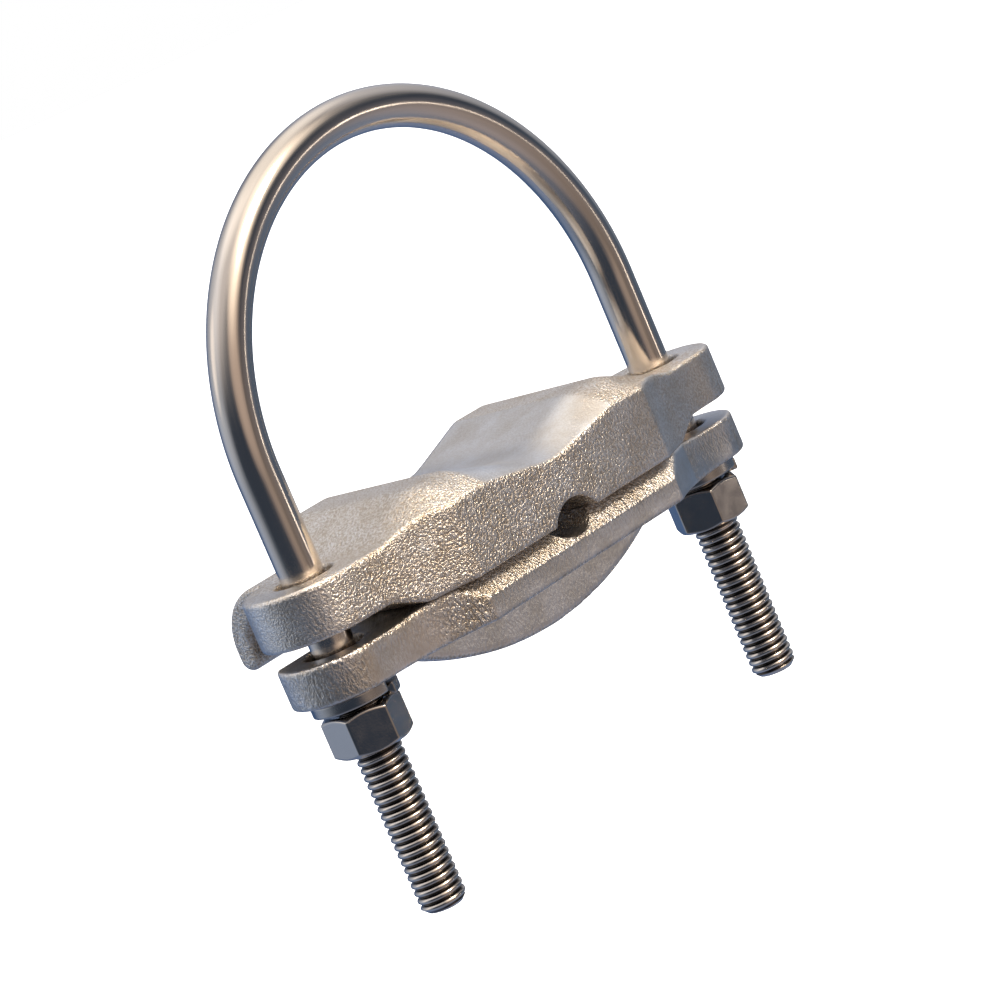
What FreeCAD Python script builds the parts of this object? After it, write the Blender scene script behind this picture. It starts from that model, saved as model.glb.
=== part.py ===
import FreeCAD, Part
import math
import os

V = FreeCAD.Vector

# Grounding clamp: a U-bolt holds a pipe against a cast saddle, and a cast keeper
# under the saddle clamps a ground cable, either along the pipe or square to it.
# Millimetres. Origin at the centre of the bow, +Z up through the bow,
# Y along the pipe, X from the left leg to the right leg. The front is -Y.

# U-bolt, a round stainless bar with 3/8-16 threads
leg_spacing = 105.0
shank_dia = 8.52
thread_dia = 9.35
thread_length = 50.8
leg_length = 87.5
leg_end_chamfer = 1.2

# Faces of the clamp below the bow centre
parting_depth = 33.3
saddle_ear_drop = 19.8
saddle_ear_thickness = 10.3

# Holes for the legs in both castings
leg_hole_dia = 11.9

# Cable sizes that the castings take
cable_groove_radius = 7.0
saddle_groove_rise = 3.7
keeper_groove_depth = 3.6
channel_offset = 14.8
hook_wall = 4.8
hook_reach = 2.4
hook_length = 106.0
hook_edge_round = 1.0
hook_crown_angle = 45.0

# Saddle body: plan outline
saddle_ear_radius = 12.4
saddle_front_half = 29.0
saddle_front_reach = 19.2
saddle_rear_half = 31.2
saddle_rear_reach = 24.4

# Saddle body: pipe seat, a rounded V between two ridges
ridge_height = 6.0
ridge_inner_half = 19.4
ridge_outer_half = 28.6
ridge_front_half = 23.5
shoulder_foot_half = 43.2
seat_depth = 5.25
seat_round = 22.0
ridge_round = 6.2
shoulder_round = 7.3
foot_round = 12.4
ear_step_inner_half = 38.5
ear_step_outer_half = 45.8
ear_step_round = 4.1
flare_start = 7.1
flare_steps = 4
ridge_flare_drop = 4.4
seat_flare_drop = 2.0

# Keeper: plan outline, land, bevelled front and stiffening rib
keeper_ear_radius = 11.5
keeper_front_half = 28.6
keeper_front_reach = 18.5
keeper_rear_half = 31.2
keeper_thickness = 8.9
keeper_ear_step = 0.9
keeper_land_half = 38.5
keeper_ramp_half = 46.8
keeper_bevel_depth = 3.3
keeper_bevel_height = 4.2
hook_clearance = 0.7
rib_thickness = 4.0
rib_depth = 11.1
rib_radius = 78.4
rib_edge_round = 0.8

# Rounding of the cast edges, on every corner sharper than the angle
casting_round = 0.6
sharp_angle = 25.0

# Fasteners: 3/8 nuts and half-sprung helical spring washers
nut_sides = 6
nut_across_flats = 14.1
nut_height = 8.33
nut_chamfer_angle = 30.0
nut_corner_round = 0.6
nut_countersink = 0.6
thread_clearance = 0.05
washer_inner_dia = 9.70
washer_outer_dia = 17.27
washer_thickness = 2.39
washer_split = 1.3
washer_opening = 1.2
washer_seat = 0.05
left_nut_turn = 24.5
right_nut_turn = 56.0
left_washer_turn = -72.0
right_washer_turn = -50.0

# Worked out from the sizes above
leg_x = leg_spacing / 2
shank_radius = shank_dia / 2
thread_radius = thread_dia / 2
hole_radius = leg_hole_dia / 2
parting_z = -parting_depth
ear_top_z = -saddle_ear_drop
ear_bottom_z = ear_top_z - saddle_ear_thickness
ridge_z = ear_top_z + ridge_height
seat_z = ridge_z - seat_depth
hook_radius = cable_groove_radius + hook_wall
channel_z = ear_top_z - hook_radius
hook_tip_z = parting_z - hook_reach
keeper_bottom_z = parting_z - keeper_thickness
keeper_ear_z = parting_z - keeper_ear_step
keeper_rear_reach = channel_offset + cable_groove_radius - hook_clearance
washer_height = washer_thickness + washer_opening
washer_top_z = keeper_bottom_z - washer_seat
nut_top_z = washer_top_z - washer_height - washer_seat
rib_root = keeper_thickness / 2

# How far a cutting shape runs past what it cuts, and how far the longest ones reach
trim_margin = 5.0
beyond = leg_spacing


def straight(a, b):
    """Edge from a to b."""
    return Part.LineSegment(a, b).toShape()


def bent(a, middle, b):
    """Circular edge from a through middle to b."""
    return Part.Arc(a, middle, b).toShape()


def rounded_outline(corners):
    """Closed face through corners, each a point and the radius that rounds it."""
    count = len(corners)
    pieces = []
    for i in range(count):
        before = corners[i - 1][0]
        point, radius = corners[i]
        after = corners[(i + 1) % count][0]
        if radius == 0:
            pieces.append((point, None, point))
            continue
        back = (before - point).normalize()
        ahead = (after - point).normalize()
        half = back.getAngle(ahead) / 2
        reach = radius / math.tan(half)
        bisector = (back + ahead).normalize()
        crown = point + bisector * (radius / math.sin(half) - radius)
        pieces.append((point + back * reach, crown, point + ahead * reach))
    edges = []
    for i in range(count):
        start, crown, end = pieces[i]
        if crown is not None:
            edges.append(bent(start, crown, end))
        edges.append(straight(end, pieces[(i + 1) % count][0]))
    return Part.Face(Part.Wire(edges))


def ear_side(ear_radius, half, reach, side, right):
    """Edge from an ear's side to a body corner: one arc that leaves the ear straight and flares out."""
    run = leg_x - half
    rise = reach - ear_radius
    flare = (run * run + rise * rise) / (2 * rise)
    angle = math.asin(run / flare) / 2
    start = V(right * leg_x, side * ear_radius, 0)
    middle_x = right * (leg_x - flare * math.sin(angle))
    middle_y = side * (ear_radius + flare * (1 - math.cos(angle)))
    return bent(start, V(middle_x, middle_y, 0), V(right * half, side * reach, 0))


def casting_plan(ear_radius, front_half, front_reach, rear_half, rear_reach):
    """Plan of a casting: a round ear at each leg, and a body that flares out in front and behind."""
    edges = []
    for right in (-1, 1):
        end_a = V(right * leg_x, -ear_radius, 0)
        end_b = V(right * leg_x, ear_radius, 0)
        edges.append(bent(end_a, V(right * (leg_x + ear_radius), 0, 0), end_b))
        edges.append(ear_side(ear_radius, front_half, front_reach, -1, right))
        edges.append(ear_side(ear_radius, rear_half, rear_reach, 1, right))
    edges.append(straight(V(-front_half, -front_reach, 0), V(front_half, -front_reach, 0)))
    edges.append(straight(V(-rear_half, rear_reach, 0), V(rear_half, rear_reach, 0)))
    return Part.Face(Part.Wire(Part.sortEdges(edges)[0]))


def plan_prism(plan, low, high):
    """Upright solid on a plan, from one height to another."""
    return plan.translated(V(0, 0, low)).extrude(V(0, 0, high - low))


def leg_holes(low, high):
    """Drills for the two leg holes."""
    drills = []
    for x in (-leg_x, leg_x):
        drills.append(Part.makeCylinder(hole_radius, high - low, V(x, 0, low)))
    return drills


def groove_along_pipe(axis_z, radius):
    """Round bar along Y that cuts the groove for a cable beside the pipe."""
    return Part.makeCylinder(radius, 2 * beyond, V(0, -beyond, axis_z), V(0, 1, 0))


def channel_across(slot_top):
    """Round bar along X, open downwards, that cuts the channel for a cable square to the pipe."""
    bar = Part.makeCylinder(cable_groove_radius, 2 * beyond, V(-beyond, channel_offset, channel_z), V(1, 0, 0))
    corner = V(-beyond, channel_offset - cable_groove_radius, slot_top - beyond)
    slot = Part.makeBox(2 * beyond, 2 * cable_groove_radius, beyond, corner)
    return bar.fuse(slot)


def u_bolt():
    """Bar bent to a half circle, with a threaded stretch on each straight leg."""
    disc = Part.Face(Part.Wire(Part.makeCircle(shank_radius, V(leg_x, 0, 0), V(0, 0, 1))))
    bow = disc.revolve(V(0, 0, 0), V(0, -1, 0), 180)
    thread_top = -(leg_length - thread_length)
    run_in = thread_radius - shank_radius
    tip_radius = thread_radius - leg_end_chamfer
    legs = []
    for x in (-leg_x, leg_x):
        outline = Part.makePolygon([
            V(x, 0, 0),
            V(x + shank_radius, 0, 0),
            V(x + shank_radius, 0, thread_top + run_in),
            V(x + thread_radius, 0, thread_top),
            V(x + thread_radius, 0, -leg_length + leg_end_chamfer),
            V(x + tip_radius, 0, -leg_length),
            V(x, 0, -leg_length),
            V(x, 0, 0),
        ])
        legs.append(Part.Face(outline).revolve(V(x, 0, 0), V(0, 0, 1), 360))
    return bow.fuse(legs).removeSplitter()


def sharp_edges(solid):
    """Edges of a solid where two faces meet at a real corner."""
    found = []
    for edge in solid.Edges:
        sides = solid.ancestorsOfType(edge, Part.Face)
        if len(sides) != 2:
            continue
        middle = edge.valueAt((edge.FirstParameter + edge.LastParameter) / 2)
        normals = [face.normalAt(*face.Surface.parameter(middle)) for face in sides]
        if normals[0].getAngle(normals[1]) > math.radians(sharp_angle):
            found.append(edge)
    return found


def seat_section(y, fall):
    """Cross-section of the saddle's body at y: ears, shoulders, two ridges and a rounded V between them.

    The fall is 0 along the even part and 1 at the front face, where the ridges and the seat sink.
    """
    ridge = ridge_z - ridge_flare_drop * fall
    valley = seat_z - seat_flare_drop * fall
    ridge_outer = ridge_outer_half + (ridge_front_half - ridge_outer_half) * fall
    # A flank of the V is the tangent from the ridge to the circle that rounds the valley
    over = seat_round - (ridge - valley)
    reach = math.hypot(ridge_inner_half, over)
    bank = math.atan2(ridge_inner_half, over) - math.acos(seat_round / reach)
    apex = ridge - ridge_inner_half * math.tan(bank)
    end = leg_x + saddle_ear_radius + trim_margin
    right_half = [
        (V(0, y, apex), seat_round),
        (V(ridge_inner_half, y, ridge), ridge_round),
        (V(ridge_outer, y, ridge), shoulder_round),
        (V(shoulder_foot_half, y, ear_top_z), foot_round),
        (V(end, y, ear_top_z), 0),
        (V(end, y, ear_bottom_z), 0),
        (V(ear_step_outer_half, y, ear_bottom_z), ear_step_round),
        (V(ear_step_inner_half, y, parting_z), ear_step_round),
    ]
    left_half = [(V(-p.x, p.y, p.z), r) for p, r in reversed(right_half[1:])]
    return rounded_outline(right_half + left_half)


def saddle_body():
    """Body with the pipe seat: an even section that sinks towards the front, trimmed to the plan."""
    even = seat_section(saddle_rear_reach, 0)
    even = even.extrude(V(0, -saddle_rear_reach - flare_start, 0))
    run = saddle_front_reach - flare_start
    sections = []
    for i in range(flare_steps + 1):
        share = i / flare_steps
        sections.append(seat_section(-flare_start - run * share, share * share).OuterWire)
    flare = Part.makeLoft(sections, True, False)
    plan = casting_plan(
        saddle_ear_radius, saddle_front_half, saddle_front_reach, saddle_rear_half, saddle_rear_reach
    )
    block = plan_prism(plan, parting_z - saddle_ear_thickness, ridge_z + saddle_ear_thickness)
    body = block.common(even.fuse(flare)).removeSplitter()
    return body.makeFillet(casting_round, sharp_edges(body))


def hook():
    """Rear hook over the cable that runs square to the pipe, as long as the casting."""
    far = channel_offset + hook_radius
    near = channel_offset + cable_groove_radius
    crown_y = channel_offset + hook_radius * math.cos(math.radians(hook_crown_angle))
    crown_z = channel_z + hook_radius * math.sin(math.radians(hook_crown_angle))
    inner_drop = ear_bottom_z - channel_z
    inner_run = math.sqrt(cable_groove_radius ** 2 - inner_drop ** 2)
    tip = (far + near) / 2
    tip_round = hook_wall / 2
    edges = [
        straight(V(0, 0, ear_top_z), V(0, channel_offset, ear_top_z)),
        bent(V(0, channel_offset, ear_top_z), V(0, crown_y, crown_z), V(0, far, channel_z)),
        straight(V(0, far, channel_z), V(0, far, hook_tip_z + tip_round)),
        bent(V(0, far, hook_tip_z + tip_round), V(0, tip, hook_tip_z), V(0, near, hook_tip_z + tip_round)),
        straight(V(0, near, hook_tip_z + tip_round), V(0, near, channel_z)),
        bent(
            V(0, near, channel_z),
            V(0, channel_offset, channel_z + cable_groove_radius),
            V(0, channel_offset - inner_run, ear_bottom_z),
        ),
        straight(V(0, channel_offset - inner_run, ear_bottom_z), V(0, 0, ear_bottom_z)),
        straight(V(0, 0, ear_bottom_z), V(0, 0, ear_top_z)),
    ]
    profile = Part.Face(Part.Wire(edges)).translated(V(-hook_length / 2, 0, 0))
    bar = profile.extrude(V(hook_length, 0, 0))
    outer = []
    for edge in bar.Edges:
        box = edge.BoundBox
        on_end = box.XLength < casting_round
        if on_end and (box.YMax > near or box.ZMin > ear_bottom_z):
            outer.append(edge)
    return bar.makeFillet(hook_edge_round, outer)


def saddle():
    """Cast saddle: pipe seat on top, cable groove below, hook behind."""
    body = saddle_body().fuse(hook())
    groove_z = parting_z + saddle_groove_rise - cable_groove_radius
    cuts = leg_holes(hook_tip_z, ridge_z)
    cuts.append(channel_across(channel_z))
    cuts.append(groove_along_pipe(groove_z, cable_groove_radius))
    return body.cut(cuts).removeSplitter()


def keeper():
    """Cast keeper: a flat bar with ears, a bevelled front lip, two cable grooves and an arched rib below."""
    plan = casting_plan(
        keeper_ear_radius, keeper_front_half, keeper_front_reach, keeper_rear_half, keeper_rear_reach
    )
    block = plan_prism(plan, keeper_bottom_z, parting_z)
    end = leg_x + keeper_ear_radius + trim_margin
    side = Part.makePolygon([
        V(-end, -beyond, keeper_bottom_z),
        V(-end, -beyond, keeper_ear_z),
        V(-keeper_ramp_half, -beyond, keeper_ear_z),
        V(-keeper_land_half, -beyond, parting_z),
        V(keeper_land_half, -beyond, parting_z),
        V(keeper_ramp_half, -beyond, keeper_ear_z),
        V(end, -beyond, keeper_ear_z),
        V(end, -beyond, keeper_bottom_z),
        V(-end, -beyond, keeper_bottom_z),
    ])
    block = block.common(Part.Face(side).extrude(V(0, 2 * beyond, 0)))
    bevel = Part.makePolygon([
        V(-beyond, -keeper_front_reach + keeper_bevel_depth, parting_z),
        V(-beyond, -keeper_front_reach, parting_z - keeper_bevel_height),
        V(-beyond, -keeper_front_reach - trim_margin, parting_z - keeper_bevel_height),
        V(-beyond, -keeper_front_reach - trim_margin, parting_z),
        V(-beyond, -keeper_front_reach + keeper_bevel_depth, parting_z),
    ])
    block = block.cut(Part.Face(bevel).extrude(V(2 * beyond, 0, 0)))
    block = block.makeFillet(casting_round, sharp_edges(block))
    rib_centre_z = keeper_bottom_z - rib_depth + rib_radius
    rib = Part.makeCylinder(rib_radius, rib_thickness, V(0, -rib_thickness / 2, rib_centre_z), V(0, 1, 0))
    rib_band = Part.makeBox(
        2 * beyond, rib_thickness, rib_root + rib_depth,
        V(-beyond, -rib_thickness / 2, keeper_bottom_z - rib_depth),
    )
    rib = rib.common(rib_band)
    lower = [edge for edge in sharp_edges(rib) if edge.BoundBox.ZMin < keeper_bottom_z - rib_edge_round]
    rib = rib.makeFillet(rib_edge_round, [edge for edge in lower if edge.BoundBox.XLength > rib_thickness])
    groove_z = parting_z - keeper_groove_depth + cable_groove_radius
    cuts = leg_holes(keeper_bottom_z, parting_z)
    cuts.append(channel_across(parting_z + beyond).common(plan_prism(plan, keeper_bottom_z, parting_z)))
    cuts.append(groove_along_pipe(groove_z, cable_groove_radius))
    return block.fuse(rib).cut(cuts).removeSplitter()


def lock_washer(x, turn):
    """Spring washer: a flat bar wound once round, its two cut ends sprung apart."""
    mean_radius = (washer_inner_dia + washer_outer_dia) / 4
    width = (washer_outer_dia - washer_inner_dia) / 2
    gap = washer_split / mean_radius
    share = 1 - gap / (2 * math.pi)
    helix = Part.makeHelix(washer_opening / share, washer_opening, mean_radius)
    section = Part.makePolygon([
        V(mean_radius - width / 2, 0, 0),
        V(mean_radius + width / 2, 0, 0),
        V(mean_radius + width / 2, 0, washer_thickness),
        V(mean_radius - width / 2, 0, washer_thickness),
        V(mean_radius - width / 2, 0, 0),
    ])
    ring = Part.Wire(helix.Edges).makePipeShell([section], True, True)
    ring.rotate(V(0, 0, 0), V(0, 0, 1), turn)
    ring.translate(V(x, 0, washer_top_z - washer_height))
    return ring


def hex_nut(x, turn):
    """Hexagon nut, its corners turned down by a cone on both faces."""
    corner = nut_across_flats / 2 / math.cos(math.pi / nut_sides)
    corners = []
    for i in range(nut_sides + 1):
        angle = math.radians(turn) + 2 * math.pi * i / nut_sides
        corners.append(V(x + corner * math.cos(angle), corner * math.sin(angle), nut_top_z - nut_height))
    prism = Part.Face(Part.makePolygon(corners)).extrude(V(0, 0, nut_height))
    upright = [edge for edge in prism.Edges if edge.BoundBox.ZLength > nut_height / 2]
    prism = prism.makeFillet(nut_corner_round, upright)
    flat = nut_across_flats / 2
    rise = math.tan(math.radians(nut_chamfer_angle))
    fall = (corner - flat) * rise
    bottom = nut_top_z - nut_height
    turned = Part.makePolygon([
        V(x, 0, bottom),
        V(x + flat, 0, bottom),
        V(x + corner, 0, bottom + fall),
        V(x + corner, 0, nut_top_z - fall),
        V(x + flat, 0, nut_top_z),
        V(x, 0, nut_top_z),
        V(x, 0, bottom),
    ])
    turned = Part.Face(turned).revolve(V(x, 0, 0), V(0, 0, 1), 360)
    bore_radius = thread_radius + thread_clearance
    mouth = bore_radius + nut_countersink
    bore = Part.makePolygon([
        V(x, 0, bottom),
        V(x + mouth, 0, bottom),
        V(x + bore_radius, 0, bottom + nut_countersink),
        V(x + bore_radius, 0, nut_top_z - nut_countersink),
        V(x + mouth, 0, nut_top_z),
        V(x, 0, nut_top_z),
        V(x, 0, bottom),
    ])
    bore = Part.Face(bore).revolve(V(x, 0, 0), V(0, 0, 1), 360)
    return prism.common(turned).cut(bore)


os.makedirs("parts", exist_ok=True)
nodes = {
    "u_bolt": u_bolt(),
    "saddle": saddle(),
    "keeper": keeper(),
    "lock_washer_left": lock_washer(-leg_x, left_washer_turn),
    "lock_washer_right": lock_washer(leg_x, right_washer_turn),
    "hex_nut_left": hex_nut(-leg_x, left_nut_turn),
    "hex_nut_right": hex_nut(leg_x, right_nut_turn),
}
for name, shape in nodes.items():
    box = shape.BoundBox
    print(name, "solids", len(shape.Solids), "valid", shape.isValid(), "volume %.1f" % shape.Volume)
    print("   x %.2f %.2f  y %.2f %.2f  z %.2f %.2f" % (
        box.XMin, box.XMax, box.YMin, box.YMax, box.ZMin, box.ZMax))
    shape.exportStep("parts/" + name + ".step")
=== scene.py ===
import math

import bmesh
import bpy
import numpy as np
from mathutils import Matrix, Vector


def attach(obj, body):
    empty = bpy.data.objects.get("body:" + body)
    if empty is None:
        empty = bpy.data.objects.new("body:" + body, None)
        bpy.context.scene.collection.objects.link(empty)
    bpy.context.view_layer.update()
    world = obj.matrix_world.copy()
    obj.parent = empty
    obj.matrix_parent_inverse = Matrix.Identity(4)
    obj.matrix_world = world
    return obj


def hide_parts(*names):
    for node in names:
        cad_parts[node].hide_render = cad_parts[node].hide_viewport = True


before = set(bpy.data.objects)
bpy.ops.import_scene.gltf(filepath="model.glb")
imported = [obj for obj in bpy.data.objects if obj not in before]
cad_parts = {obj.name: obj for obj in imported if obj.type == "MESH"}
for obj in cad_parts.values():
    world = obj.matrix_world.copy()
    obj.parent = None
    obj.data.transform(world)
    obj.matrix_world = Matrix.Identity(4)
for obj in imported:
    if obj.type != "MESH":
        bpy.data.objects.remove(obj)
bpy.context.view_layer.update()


# U-bolt
# A round stainless bar, drawn to size, bent cold to a half circle and threaded at both ends by rolling.
# It hooks over the pipe, and its two legs carry both castings. Bare metal, with faint lengthwise draw marks.

leg_x = 0.0525
shank_radius = 0.00426
thread_radius = 0.004675
thread_pitch = 0.0015875
thread_depth = 0.00082
crest_power = 2.2
thread_top = -0.0367
thread_run_out = 0.0024
leg_bottom = -0.0875
leg_end_chamfer = 0.0012

# The share of a turn by which the right leg's thread and the left leg's are turned
thread_start = {1: 0.00, -1: 0.35}

# The bar's rows are close together along the thread and a little past it, and its columns go round it
bar_columns = 56
thread_row_step = 0.00011
thread_rows_past = 0.0006
shank_row_margin = 0.0010
bow_row_margin = 0.0006
shank_rows = 24
bow_rows = 181
merge_distance = 1e-7


def linear(colour):
    """sRGB hex value to a linear red, green, blue and alpha."""
    parts = np.array([int(colour[i:i + 2], 16) for i in (1, 3, 5)]) / 255
    straight = np.where(parts <= 0.04045, parts / 12.92, ((parts + 0.055) / 1.055) ** 2.4)
    return (*straight.tolist(), 1.0)


def add_node(owner, kind, links=None, **settings):
    """A node in a material or the world. Settings name its properties or sockets, and links feed sockets."""
    tree = owner.node_tree
    node = tree.nodes.new(kind)
    for key, value in settings.items():
        if hasattr(node, key):
            setattr(node, key, value)
        else:
            node.inputs[key.replace("_", " ")].default_value = value
    for socket, source in (links or {}).items():
        tree.links.new(source, node.inputs[socket])
    return node


def new_material(name, **settings):
    """A material with a Principled shader, and that shader."""
    material = bpy.data.materials.new(name)
    material.use_nodes = True
    material.node_tree.nodes.clear()
    shader = add_node(material, "ShaderNodeBsdfPrincipled")
    for key, value in settings.items():
        shader.inputs[key.replace("_", " ")].default_value = value
    output = add_node(material, "ShaderNodeOutputMaterial")
    material.node_tree.links.new(shader.outputs["BSDF"], output.inputs["Surface"])
    return material, shader


def surface(name, points, closed_rows=False):
    """A mesh piece from points worked out on a grid of rows and columns. The columns close on themselves."""
    rows, columns = points.shape[:2]
    index = np.arange(rows * columns).reshape(rows, columns)
    if closed_rows:
        index = np.vstack([index, index[:1]])
    here = index[:-1]
    above = index[1:]
    faces = np.stack([here, np.roll(here, -1, 1), np.roll(above, -1, 1), above], axis=-1).reshape(-1, 4)
    mesh = bpy.data.meshes.new(name)
    mesh.from_pydata(points.reshape(-1, 3), [], faces)
    piece = bpy.data.objects.new(name, mesh)
    bpy.context.scene.collection.objects.link(piece)
    return piece


def close_up(piece):
    """Merges the doubled points at poles and turns all faces outwards."""
    shape = bmesh.new()
    shape.from_mesh(piece.data)
    bmesh.ops.remove_doubles(shape, verts=shape.verts, dist=merge_distance)
    bmesh.ops.recalc_face_normals(shape, faces=shape.faces)
    shape.to_mesh(piece.data)
    shape.free()
    piece.data.shade_smooth()


def thread_profile(turns):
    """Height over the thread's root, 0 to 1, against the share of a turn: a round crest and a narrow groove.

    The height is 1 less the crest's power of the distance from the crest, which is 1 in the groove.
    """
    from_crest = 2 * np.abs(turns % 1.0 - 0.5)
    return 1 - from_crest ** crest_power


def bar_path():
    """The bar's centreline from the foot of the right leg over the bow to the foot of the left leg.

    Gives each point's height in its leg, its angle round the bow, its side and its share of the radius.
    """
    threads = np.arange(leg_bottom, thread_top + thread_rows_past, thread_row_step)
    shank = np.linspace(thread_top + shank_row_margin, -bow_row_margin, shank_rows)
    leg = np.concatenate([[leg_bottom], threads, shank])
    fill = np.ones(len(leg))
    fill[0] = 0
    bow = np.linspace(0, math.pi, bow_rows)
    left_rows = bow_rows // 2
    height = np.concatenate([leg, np.zeros(len(bow)), leg[::-1]])
    angle = np.concatenate([np.zeros(len(leg)), bow, np.full(len(leg), math.pi)])
    side = np.concatenate([np.ones(len(leg) + bow_rows - left_rows), -np.ones(left_rows + len(leg))])
    fill = np.concatenate([fill, np.ones(len(bow)), fill[::-1]])
    return height, angle, side, fill


def u_bolt_points():
    """The bar: a circle carried along its centreline. In the threaded stretch its radius follows a helix,
    so that the thread's height depends on the height less one pitch for each turn.

    Gives the points, their places on the bar laid straight and how deep in the thread they lie, 0 to 1.
    """
    height, angle, side, fill = (row[:, None] for row in bar_path())
    around = np.linspace(0, 2 * math.pi, bar_columns, endpoint=False)[None, :]
    turn = np.where(side > 0, around, math.pi - around) / (2 * math.pi)
    start = np.where(side > 0, thread_start[1], thread_start[-1])
    crest = thread_profile(height / thread_pitch - turn + start)
    threaded = thread_radius - thread_depth * (1 - crest)
    depth = np.clip((thread_top - height) / thread_run_out, 0, 1)
    fade = depth * depth * (3 - 2 * depth)
    radius = shank_radius * (1 - fade) + threaded * fade
    radius = np.minimum(radius, thread_radius - leg_end_chamfer + (height - leg_bottom)) * fill
    out_x, out_z = np.cos(angle), np.sin(angle)
    x = (leg_x + radius * np.cos(around)) * out_x
    z = (leg_x + radius * np.cos(around)) * out_z + height
    y = radius * np.sin(around) + 0 * angle
    along = np.cumsum(np.abs(np.gradient(height[:, 0])) + leg_x * np.gradient(angle[:, 0]))[:, None]
    marks = np.stack([radius * np.cos(around), radius * np.sin(around), along + 0 * around], axis=-1)
    return np.stack([x, y, z], axis=-1), marks, fade * (1 - crest)


u_bolt_grid, bar_marks, in_groove = u_bolt_points()
u_bolt = surface("u_bolt_bar", u_bolt_grid)
marks = u_bolt.data.attributes.new("bar_marks", "FLOAT_VECTOR", "POINT")
marks.data.foreach_set("vector", bar_marks.astype(np.float32).ravel())
grooves = u_bolt.data.attributes.new("in_groove", "FLOAT", "POINT")
grooves.data.foreach_set("value", in_groove.astype(np.float32).ravel())
close_up(u_bolt)

# Drawn stainless steel. Drawing leaves fine scratches along the bar and a soft satin shine.
# The rolled thread's grooves are painted darker than its crests: painted shade in the grooves.
drawn_steel, steel = new_material("drawn_stainless_steel", Metallic=1.0)
# Painted shade: the bar's colour turns dark brown-grey down in the thread's grooves
groove_depth = add_node(drawn_steel, "ShaderNodeAttribute", attribute_name="in_groove")
groove_painted_shade = add_node(
    drawn_steel, "ShaderNodeMapRange", {"Value": groove_depth.outputs["Fac"]},
    interpolation_type="SMOOTHSTEP", From_Min=0.08, From_Max=0.60,
)
bar_colour = add_node(
    drawn_steel, "ShaderNodeMixRGB", {"Fac": groove_painted_shade.outputs["Result"]},
    Color1=linear("#CFC6BC"), Color2=linear("#5A544E"),
)
bar_place = add_node(drawn_steel, "ShaderNodeAttribute", attribute_name="bar_marks")
bar_stretch = add_node(
    drawn_steel, "ShaderNodeMapping", {"Vector": bar_place.outputs["Vector"]}, Scale=(1, 1, 0.03)
)
# Draw marks 0.3 mm apart and thirty times as long
draw_marks = add_node(
    drawn_steel, "ShaderNodeTexNoise", {"Vector": bar_stretch.outputs["Vector"]}, Scale=3300.0, Detail=3.0
)
bar_finish = add_node(
    drawn_steel, "ShaderNodeMapRange", {"Value": draw_marks.outputs["Fac"]},
    From_Min=0.3, From_Max=0.7, To_Min=0.13, To_Max=0.22,
)
bar_bump = add_node(
    drawn_steel, "ShaderNodeBump", {"Height": draw_marks.outputs["Fac"]}, Strength=0.35, Distance=0.00002
)
drawn_steel.node_tree.links.new(bar_colour.outputs["Color"], steel.inputs["Base Color"])
drawn_steel.node_tree.links.new(bar_finish.outputs["Result"], steel.inputs["Roughness"])
drawn_steel.node_tree.links.new(bar_bump.outputs["Normal"], steel.inputs["Normal"])
u_bolt.data.materials.append(drawn_steel)
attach(u_bolt, "u_bolt")
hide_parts("u_bolt")


# Saddle
# A tin-plated bronze sand casting: the V seat for the pipe, two ears for the legs and the long hook behind.
# Its faces keep the grain of the sand mould, its edges are softly rounded and the seat is dressed smooth.

casting_voxel = 0.00044
casting_smoothing = 2

# Where the saddle is dressed: the seat, the right flare, the right of the front and the ears' round ends
seat_half = 0.0194
seat_edge_outer = 0.0006
seat_edge_inner = 0.0010
seat_bottom = -0.0236
seat_fade_start = 0.0004
seat_fade_end = 0.0014
front_corner = 0.0290
flare_past_corner = 0.004
dressed_flare = 0.0430
front_wear_start = -0.005
saddle_end = 0.0580
end_fade = 0.002

# How smooth each dressed place is, 1 being wholly smooth
seat_smoothness = 0.85
flare_smoothness = 0.5
end_smoothness = 0.5
front_smoothness = 0.45

# How far a face has to turn a way before it begins to count, and before it counts in full
turned_up = (0.3, 0.6)
turned_front = (0.3, 0.6)
turned_right = (0.10, 0.22)
square_to_front = (0.90, 0.98)


def casting(name, node):
    """A casting's skin: the solid from the model with its edges worn round.

    The solid is filled with voxels. Each point of their skin is moved halfway to the mean of its neighbours,
    as often as the smoothing says.
    """
    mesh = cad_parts[node].data.copy()
    piece = bpy.data.objects.new(name, mesh)
    bpy.context.scene.collection.objects.link(piece)
    close_up(piece)
    remesh = piece.modifiers.new("voxels", "REMESH")
    remesh.mode = "VOXEL"
    remesh.voxel_size = casting_voxel
    smooth = piece.modifiers.new("worn edges", "SMOOTH")
    smooth.factor = 0.5
    smooth.iterations = casting_smoothing
    ready = piece.evaluated_get(bpy.context.evaluated_depsgraph_get())
    piece.modifiers.clear()
    piece.data = bpy.data.meshes.new_from_object(ready)
    piece.data.materials.clear()
    piece.data.shade_smooth()
    return piece


def ramp(low, high, value):
    """0 below the low value, 1 above the high one, a smooth rise between. It falls where low is over high."""
    share = np.clip((value - low) / (high - low), 0, 1)
    return share * share * (3 - 2 * share)


def points_and_normals(piece):
    """The x, y and z of a piece's points, and those of the directions its skin faces there."""
    mesh = piece.data
    places = np.empty(len(mesh.vertices) * 3, dtype=np.float32)
    normals = np.empty_like(places)
    mesh.vertices.foreach_get("co", places)
    mesh.vertex_normals.foreach_get("vector", normals)
    return places.reshape(-1, 3).T, normals.reshape(-1, 3).T


def keep_share(piece, name, share):
    """Keeps one number from 0 to 1 at each point of a piece, for its material."""
    kept = piece.data.attributes.new(name, "FLOAT", "POINT")
    kept.data.foreach_set("value", share.astype(np.float32))


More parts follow.
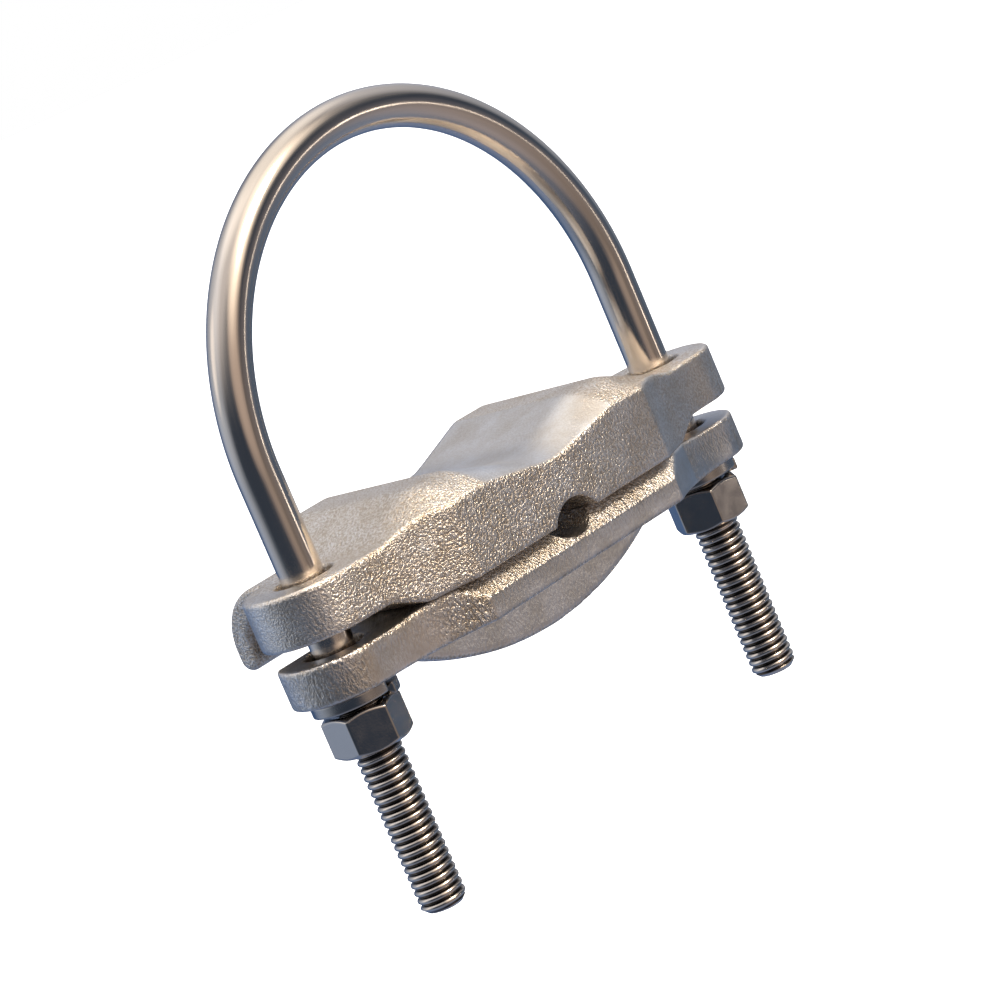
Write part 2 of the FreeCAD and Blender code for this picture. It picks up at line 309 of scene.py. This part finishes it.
def facing_front_right(facing_x, facing_y):
    """1 on faces turned to the front and a little to the right, such as a right flare, and 0 elsewhere."""
    return ramp(*turned_right, facing_x) * ramp(*turned_front, -facing_y)


def finish_casting(name, grain_height, streak, stained, bright):
    """Tin-plated bronze as cast. The sand leaves grains about 0.5 mm wide, and the grain height is how far
    they stand out. The colour is bright tin on the grains, in part a painted glint, and the brown bronze
    shows in the pits between them.

    Dressed faces are smooth, and lumpy ones have drops of metal 1.5 mm wide from a worn mould. A streak
    under 1 draws the grains out up and down the sides, as a pattern pulled from the sand does. The tin runs
    from its stained colour to its bright one.
    """
    material, shader = new_material(name, Metallic=1.0)
    place = add_node(material, "ShaderNodeTexCoord").outputs["Object"]
    drawn = add_node(material, "ShaderNodeMapping", {"Vector": place}, Scale=(1, 1, streak)).outputs["Vector"]
    dressed = add_node(material, "ShaderNodeAttribute", attribute_name="dressed").outputs["Fac"]
    lumpy = add_node(material, "ShaderNodeAttribute", attribute_name="lumpy").outputs["Fac"]
    # Sand grains 0.5 mm wide, and drops 1.5 mm wide
    grains = add_node(
        material, "ShaderNodeTexNoise", {"Vector": drawn}, Scale=2100.0, Detail=2.0, Roughness=0.6
    )
    drops = add_node(material, "ShaderNodeTexNoise", {"Vector": place}, Scale=650.0, Detail=2.0)
    # Stains 7 mm wide
    stains = add_node(material, "ShaderNodeTexNoise", {"Vector": place}, Scale=140.0, Detail=4.0)
    tin = add_node(material, "ShaderNodeValToRGB", {"Fac": stains.outputs["Fac"]})
    tin.color_ramp.elements[0].position = 0.35
    tin.color_ramp.elements[0].color = linear(stained)
    tin.color_ramp.elements[1].position = 0.65
    tin.color_ramp.elements[1].color = linear(bright)
    # How much bronze shows: most in the pits, little on the grains and least where the face is dressed. The
    # bright tin colour this leaves on the grains is in part a painted glint.
    pits = add_node(
        material, "ShaderNodeMapRange", {"Value": grains.outputs["Fac"]},
        From_Min=0.60, From_Max=0.40, To_Min=0.12, To_Max=1.0,
    )
    open_pits = add_node(material, "ShaderNodeMapRange", {"Value": dressed}, To_Min=0.60, To_Max=0.10)
    bronze = add_node(
        material, "ShaderNodeMath", {0: pits.outputs["Result"], 1: open_pits.outputs["Result"]},
        operation="MULTIPLY",
    )
    colour = add_node(
        material, "ShaderNodeMixRGB", {"Fac": bronze.outputs["Value"], "Color1": tin.outputs["Color"]},
        Color2=linear("#A08458"),
    )
    roughness = add_node(material, "ShaderNodeMapRange", {"Value": dressed}, To_Min=0.36, To_Max=0.28)
    drop_strength = add_node(material, "ShaderNodeMapRange", {"Value": lumpy}, To_Min=0.06, To_Max=1.0)
    low_bump = add_node(
        material, "ShaderNodeBump", {
            "Height": drops.outputs["Fac"], "Strength": drop_strength.outputs["Result"],
        }, Distance=0.00040,
    )
    grain_strength = add_node(material, "ShaderNodeMapRange", {"Value": dressed}, To_Min=1.0, To_Max=0.12)
    bump = add_node(
        material, "ShaderNodeBump", {
            "Height": grains.outputs["Fac"], "Normal": low_bump.outputs["Normal"],
            "Strength": grain_strength.outputs["Result"],
        }, Distance=grain_height,
    )
    links = material.node_tree.links
    links.new(colour.outputs["Color"], shader.inputs["Base Color"])
    links.new(roughness.outputs["Result"], shader.inputs["Roughness"])
    links.new(bump.outputs["Normal"], shader.inputs["Normal"])
    return material


saddle = casting("saddle_casting", "saddle")
(x, y, z), (facing_x, facing_y, facing_z) = points_and_normals(saddle)
dressed_seat = ramp(seat_half + seat_edge_outer, seat_half - seat_edge_inner, abs(x))
dressed_seat = dressed_seat * ramp(seat_bottom + seat_fade_start, seat_bottom + seat_fade_end, z)
dressed_seat = dressed_seat * ramp(*turned_up, facing_z)
dressed_side = facing_front_right(facing_x, facing_y)
dressed_side = dressed_side * ramp(dressed_flare, front_corner + flare_past_corner, x)
worn_front = front_smoothness * ramp(front_wear_start, front_corner, x) * ramp(*square_to_front, -facing_y)
keep_share(saddle, "dressed", np.maximum.reduce([
    seat_smoothness * dressed_seat,
    flare_smoothness * dressed_side,
    worn_front,
    end_smoothness * ramp(saddle_end - end_fade, saddle_end + end_fade, abs(x)),
]))
# The saddle's mould was sound, so it has no lumps
keep_share(saddle, "lumpy", np.zeros_like(x))
saddle_bronze = finish_casting(
    "tinned_bronze_saddle", grain_height=0.00040, streak=1.0, stained="#E6E0D7", bright="#F6F4F1"
)
saddle.data.materials.append(saddle_bronze)
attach(saddle, "saddle")
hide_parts("saddle")


# Keeper
# A second tin-plated bronze casting: a flat bar with two cable grooves and an arched rib below.
# It slides on the legs under the saddle, and the nuts press it up against the cable.

keeper_end = 0.0560
keeper_flare = 0.0390
keeper_flare_fade = 0.001
bevel_lumps = 0.0120
keeper_top = -0.0350
keeper_bottom = -0.0422
land_smoothness = 0.9
bevel_smoothness = 0.6
front_top_smoothness = 0.60
front_bottom_gain = 0.36
turned_half_up = (0.25, 0.5)
turned_half_front = (0.25, 0.5)
level_with_top = (0.80, 0.95)

keeper = casting("keeper_casting", "keeper")
(x, y, z), (facing_x, facing_y, facing_z) = points_and_normals(keeper)
dressed_side = facing_front_right(facing_x, facing_y)
dressed_side = dressed_side * ramp(keeper_flare + keeper_flare_fade, keeper_flare - keeper_flare_fade, x)
bevel = ramp(*turned_half_up, facing_z) * ramp(*turned_half_front, -facing_y)
dressed_front = front_top_smoothness + front_bottom_gain * ramp(keeper_top, keeper_bottom, z)
dressed_front = ramp(*square_to_front, -facing_y) * dressed_front
keep_share(keeper, "dressed", np.maximum.reduce([
    dressed_side,
    dressed_front,
    land_smoothness * ramp(*level_with_top, facing_z),
    end_smoothness * ramp(keeper_end - end_fade, keeper_end + end_fade, abs(x)),
    bevel_smoothness * bevel * ramp(bevel_lumps, keeper_flare, x),
]))
keep_share(keeper, "lumpy", bevel * ramp(keeper_flare, bevel_lumps, x))
# The keeper's tin colours are a little darker than the saddle's: painted shade for the keeper lying in the
# saddle's shadow.
keeper_bronze = finish_casting(
    "tinned_bronze_keeper", grain_height=0.00055, streak=0.55, stained="#DDD7CE", bright="#EFECE9"
)
keeper.data.materials.append(keeper_bronze)
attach(keeper, "keeper")
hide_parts("keeper")


# Lock washers
# Two spring washers of stainless steel, a flat bar wound once round, with its cut ends sprung apart.
# Each lies loose on its leg between the keeper and the nut.

washer_inner = 0.00485
washer_outer = 0.008635
washer_thickness = 0.00239
washer_rise = 0.0012
washer_split = 0.0013
washer_top = -0.04225
washer_edge = 0.00045
washer_rows = 120
washer_end_share = 0.01
washer_lip = 0.0002
washer_lip_fill = 0.94
washer_turn = {"lock_washer_left": -72.0, "lock_washer_right": -50.0}

# A rounded corner takes up at most this share of a side, has this many rows, and a row just past each end
corner_side_share = 0.44
corner_rows = 6
corner_guard = 1.12


def round_section(corners, reach, sharp=()):
    """A closed section whose corners are rounded, each by a parabola that starts and ends at the reach.

    Corners are arrays of places, so that the section may change along the piece. A row just beyond each
    parabola keeps the straight stretches flat. The corners named as sharp stay as they are.
    """
    rows = []
    count = len(corners)
    for i in range(count):
        point = corners[i]
        if i in sharp:
            rows.append(point)
            continue
        before = corners[i - 1] - point
        after = corners[(i + 1) % count] - point
        long_before = np.linalg.norm(before, axis=-1, keepdims=True)
        long_after = np.linalg.norm(after, axis=-1, keepdims=True)
        start = before / long_before * np.minimum(reach, long_before * corner_side_share)
        end = after / long_after * np.minimum(reach, long_after * corner_side_share)
        rows.append(point + start * corner_guard)
        for t in np.linspace(0, 1, corner_rows):
            rows.append(point + start * (1 - t) ** 2 + end * t ** 2)
        rows.append(point + end * corner_guard)
    return np.stack(rows)


def washer_points(side, turn):
    """A flat bar's section with rounded edges, carried once round the leg and climbing evenly.

    The first and last rows close its ends, and the rows beside them round the ends' edges.
    """
    mean = (washer_inner + washer_outer) / 2
    sweep = 2 * math.pi - washer_split / mean
    lip = washer_lip / (mean * sweep)
    middle = np.linspace(washer_end_share, 1 - washer_end_share, washer_rows)
    share = np.concatenate([[0, 0, lip, 2 * lip], middle, [1 - 2 * lip, 1 - lip, 1, 1]])
    fill = np.ones_like(share)
    fill[[0, 1, -2, -1]] = 0, washer_lip_fill, washer_lip_fill, 0
    share, fill = share[:, None], fill[:, None]
    corners = [
        np.array((radius, height)) for radius, height in (
            (washer_inner, 0), (washer_outer, 0),
            (washer_outer, washer_thickness), (washer_inner, washer_thickness),
        )
    ]
    section = round_section(corners, washer_edge)
    centre = np.mean(corners, axis=0)
    section = centre + (section - centre)[None] * fill[:, :, None]
    angle = math.radians(turn) + sweep * share
    base = washer_top - washer_thickness - washer_rise
    x = side * leg_x + section[..., 0] * np.cos(angle)
    y = section[..., 0] * np.sin(angle)
    z = base + washer_rise * share + section[..., 1]
    return np.stack([x, y, z], axis=-1)


def finish_fastener(name, colour, smoothest, roughest):
    """Cold-formed stainless steel, smooth from the die, with faint 0.4 mm marks.

    Clouds 2.6 mm wide vary its roughness from the smoothest value to the roughest.
    """
    material, shader = new_material(name, Metallic=1.0, Base_Color=linear(colour))
    place = add_node(material, "ShaderNodeTexCoord").outputs["Object"]
    marks = add_node(material, "ShaderNodeTexNoise", {"Vector": place}, Scale=2400.0, Detail=4.0)
    clouds = add_node(material, "ShaderNodeTexNoise", {"Vector": place}, Scale=380.0, Detail=3.0)
    roughness = add_node(
        material, "ShaderNodeMapRange", {"Value": clouds.outputs["Fac"]},
        From_Min=0.35, From_Max=0.65, To_Min=smoothest, To_Max=roughest,
    )
    bump = add_node(
        material, "ShaderNodeBump", {"Height": marks.outputs["Fac"]}, Strength=0.4, Distance=0.00003
    )
    material.node_tree.links.new(roughness.outputs["Result"], shader.inputs["Roughness"])
    material.node_tree.links.new(bump.outputs["Normal"], shader.inputs["Normal"])
    return material


washer_steel = finish_fastener("spring_stainless_steel", "#B9B4AE", smoothest=0.16, roughest=0.28)
for node, turn in washer_turn.items():
    washer = surface(node + "_spring", washer_points(-1 if "left" in node else 1, turn))
    close_up(washer)
    washer.data.materials.append(washer_steel)
    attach(washer, "keeper")
    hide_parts(node)


# Hexagon nuts
# Two cold-formed 3/8 nuts of stainless steel, their corners turned down by a cone on both faces.
# Each is screwed on its leg and holds the keeper up.

nut_sides = 6
nut_flat = 0.00705
nut_top = -0.04589
nut_height = 0.00833
nut_corner_round = 0.0006
nut_face = 0.0067
nut_bore = 0.004725
nut_mouth = 0.005325
nut_edge = 0.00035
nut_cone_angle = 30
nut_corner_columns = 9
nut_flat_columns = 7
nut_flat_reach = 0.38
nut_corner_margin = 0.012
nut_turn = {"hex_nut_left": 24.5, "hex_nut_right": 56.0}


def nut_points(side, turn):
    """A hexagon nut's section carried round its axis.

    The flats lie at a constant distance from the axis, each corner is an arc of the corner radius, and a
    30-degree cone from the circle of the face cuts the corners off at both ends.
    """
    half_side = math.pi / nut_sides
    centre = (nut_flat - nut_corner_round) / math.cos(half_side)
    last_flat = math.atan((nut_flat - nut_corner_round) * math.tan(half_side) / nut_flat)
    bend = np.linspace(last_flat, 2 * half_side - last_flat, nut_corner_columns)
    level = np.linspace(-nut_flat_reach, nut_flat_reach, nut_flat_columns)
    margin = last_flat - nut_corner_margin
    from_flat = np.concatenate([[-margin], level, [margin], bend])
    around = (from_flat[None, :] + np.arange(nut_sides)[:, None] * 2 * math.pi / nut_sides).ravel()
    from_flat = (around + half_side) % (2 * half_side) - half_side
    from_corner = half_side - np.abs(from_flat)
    inside = np.maximum(nut_corner_round ** 2 - (centre * np.sin(from_corner)) ** 2, 0)
    corner = centre * np.cos(from_corner) + np.sqrt(inside)
    outer = np.where(np.abs(from_flat) < last_flat, nut_flat / np.cos(from_flat), corner)
    fall = (outer - nut_face) * math.tan(math.radians(nut_cone_angle))
    still = np.zeros_like(outer)
    sink = nut_mouth - nut_bore
    places = [
        (still + nut_bore, still + sink),
        (still + nut_mouth, still),
        (still + nut_face, still),
        (outer, fall),
        (outer, nut_height - fall),
        (still + nut_face, still + nut_height),
        (still + nut_mouth, still + nut_height),
        (still + nut_bore, still + nut_height - sink),
    ]
    bore_corners = (0, 1, 6, 7)
    corners = [np.stack(place, axis=-1) for place in places]
    section = round_section(corners, nut_edge, sharp=bore_corners)
    angle = around + math.radians(turn) + half_side
    x = side * leg_x + section[..., 0] * np.cos(angle)
    y = section[..., 0] * np.sin(angle)
    z = nut_top - nut_height + section[..., 1]
    return np.stack([x, y, z], axis=-1)


nut_steel = finish_fastener("cold_formed_stainless_steel", "#BEB8B1", smoothest=0.10, roughest=0.18)
for node, turn in nut_turn.items():
    nut = surface(node + "_formed", nut_points(-1 if "left" in node else 1, turn), closed_rows=True)
    close_up(nut)
    nut.data.materials.append(nut_steel)
    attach(nut, "nut_left" if "left" in node else "nut_right")
    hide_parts(node)


# Stage
# A white floor under the clamp, which hangs a little above it. A warm key lamp above the front and a small
# low one at the front right light it, and the metal mirrors a room that is cool behind and below.

floor_z = -0.20
floor_half = 6.0
floor_corners = [
    (x * floor_half, y * floor_half, floor_z) for x, y in ((-1, -1), (1, -1), (1, 1), (-1, 1))
]
floor_mesh = bpy.data.meshes.new("floor")
floor_mesh.from_pydata(floor_corners, [], [(0, 1, 2, 3)])
floor = bpy.data.objects.new("floor", floor_mesh)
bpy.context.scene.collection.objects.link(floor)
pale_floor, paint = new_material(
    "white_floor", Base_Color=linear("#F7F7F7"), Roughness=0.9, Emission_Color=linear("#FFFFFF"),
    Emission_Strength=1.0,
)
floor_place = add_node(pale_floor, "ShaderNodeTexCoord").outputs["Object"]
# Faint unevenness of the paint, patches 0.2 m wide
floor_cloud = add_node(pale_floor, "ShaderNodeTexNoise", {"Vector": floor_place}, Scale=5.0)
floor_shine = add_node(
    pale_floor, "ShaderNodeMapRange", {"Value": floor_cloud.outputs["Fac"]}, To_Min=0.85, To_Max=0.95
)
pale_floor.node_tree.links.new(floor_shine.outputs["Result"], paint.inputs["Roughness"])
floor.data.materials.append(pale_floor)
floor.visible_glossy = False
floor.visible_diffuse = False


def direction(azimuth, elevation):
    """The direction from the clamp towards a light. Azimuth 0 is the front, and it grows to the right."""
    a, e = math.radians(azimuth), math.radians(elevation)
    return Vector((math.sin(a) * math.cos(e), -math.cos(a) * math.cos(e), math.sin(e)))


lamp_distance = 0.9


def soft_box(name, azimuth, elevation, width, height, brightness, colour):
    """A rectangular light facing the clamp. Its power grows with its area, so its face stays as bright."""
    lamp = bpy.data.lights.new(name, "AREA")
    lamp.shape = "RECTANGLE"
    lamp.size = width
    lamp.size_y = height
    lamp.energy = brightness * math.pi * width * height
    lamp.color = colour
    light = bpy.data.objects.new(name, lamp)
    light.location = direction(azimuth, elevation) * lamp_distance
    light.rotation_euler = direction(azimuth, elevation).to_track_quat("Z", "Y").to_euler()
    light.visible_camera = False
    bpy.context.scene.collection.objects.link(light)


soft_box("key_lamp", 8, 48, width=0.26, height=0.26, brightness=36.0, colour=(1.0, 0.86, 0.70))
soft_box("front_lamp", 43, -9, width=0.06, height=0.06, brightness=6.5, colour=(1.0, 0.88, 0.76))

# Soft glows of the room: azimuth, elevation, angles where a glow is full and where it ends, and its colour
room_base = (0.045, 0.06, 0.09)
room_glows = {
    "ceiling": (0, 90, 10, 80, (0.46, 0.42, 0.39)),
    "top": (140, 74, 8, 40, (0.82, 0.77, 0.69)),
    "left_high": (-95, 60, 8, 44, (0.38, 0.36, 0.35)),
    "ground": (0, -90, 10, 80, (0.20, 0.21, 0.26)),
    "key": (8, 48, 8, 36, (1.40, 1.22, 1.00)),
    "front": (-12, 16, 5, 34, (0.62, 0.47, 0.36)),
    "front_right": (40, -14, 5, 30, (0.08, 0.07, 0.07)),
    "front_low": (14, -33, 10, 42, (0.24, 0.17, 0.11)),
    "right": (103, 28, 10, 42, (0.38, 0.39, 0.42)),
    "right_low": (85, -30, 10, 50, (0.07, 0.10, 0.15)),
    "back_right": (145, 18, 8, 40, (0.12, 0.14, 0.19)),
    "back_low": (175, -35, 15, 65, (0.01, 0.06, 0.18)),
    "back_left": (-138, -14, 8, 46, (0.12, 0.14, 0.17)),
    "rim": (-140, 27, 4, 18, (0.75, 0.65, 0.54)),
    "rim_veil": (-145, 27, 12, 55, (0.45, 0.48, 0.54)),
}
world = bpy.data.worlds.new("studio_room")
world.use_nodes = True
world.node_tree.nodes.clear()
bpy.context.scene.world = world
room = add_node(world, "ShaderNodeTexCoord").outputs["Generated"]
room_start = add_node(world, "ShaderNodeCombineXYZ", X=room_base[0], Y=room_base[1], Z=room_base[2])
room_sum = room_start.outputs["Vector"]
for name, (azimuth, elevation, full, end, colour) in room_glows.items():
    toward = add_node(world, "ShaderNodeVectorMath", {0: room}, operation="DOT_PRODUCT")
    toward.inputs[1].default_value = direction(azimuth, elevation)
    share = add_node(
        world, "ShaderNodeMapRange", {"Value": toward.outputs["Value"]}, interpolation_type="SMOOTHSTEP",
        From_Min=math.cos(math.radians(end)), From_Max=math.cos(math.radians(full)),
    )
    glow = add_node(
        world, "ShaderNodeVectorMath", {1: share.outputs["Result"], 2: room_sum},
        operation="MULTIPLY_ADD", name=name,
    )
    glow.inputs[0].default_value = colour
    room_sum = glow.outputs["Vector"]
room_light = add_node(world, "ShaderNodeBackground", {"Color": room_sum}, Strength=1.0)
plain_wall = add_node(world, "ShaderNodeBackground", Color=(1, 1, 1, 1), Strength=1.0)
seen = add_node(world, "ShaderNodeLightPath").outputs["Is Camera Ray"]
sky = add_node(
    world, "ShaderNodeMixShader",
    {0: seen, 1: room_light.outputs["Background"], 2: plain_wall.outputs["Background"]},
)
add_node(world, "ShaderNodeOutputWorld", {"Surface": sky.outputs["Shader"]})
bpy.context.scene.view_settings.view_transform = "Standard"

# The camera stands where the photograph was taken from, to the left of the front and a little above
camera_place = Vector((-0.522639, -0.566725, 0.101479))
camera_right = Vector((0.632291, -0.671302, -0.386733))
camera_down = Vector((-0.390620, 0.154849, -0.907435))
camera_ahead = Vector((0.669048, 0.724828, -0.164314))
camera_lens = bpy.data.cameras.new("camera")
camera_lens.sensor_width = 36.0
camera_lens.lens = 145.87
camera = bpy.data.objects.new("camera", camera_lens)
turned = Matrix((camera_right, -camera_down, -camera_ahead)).transposed()
camera.matrix_world = Matrix.Translation(camera_place) @ turned.to_4x4()
bpy.context.scene.collection.objects.link(camera)
bpy.context.scene.camera = camera
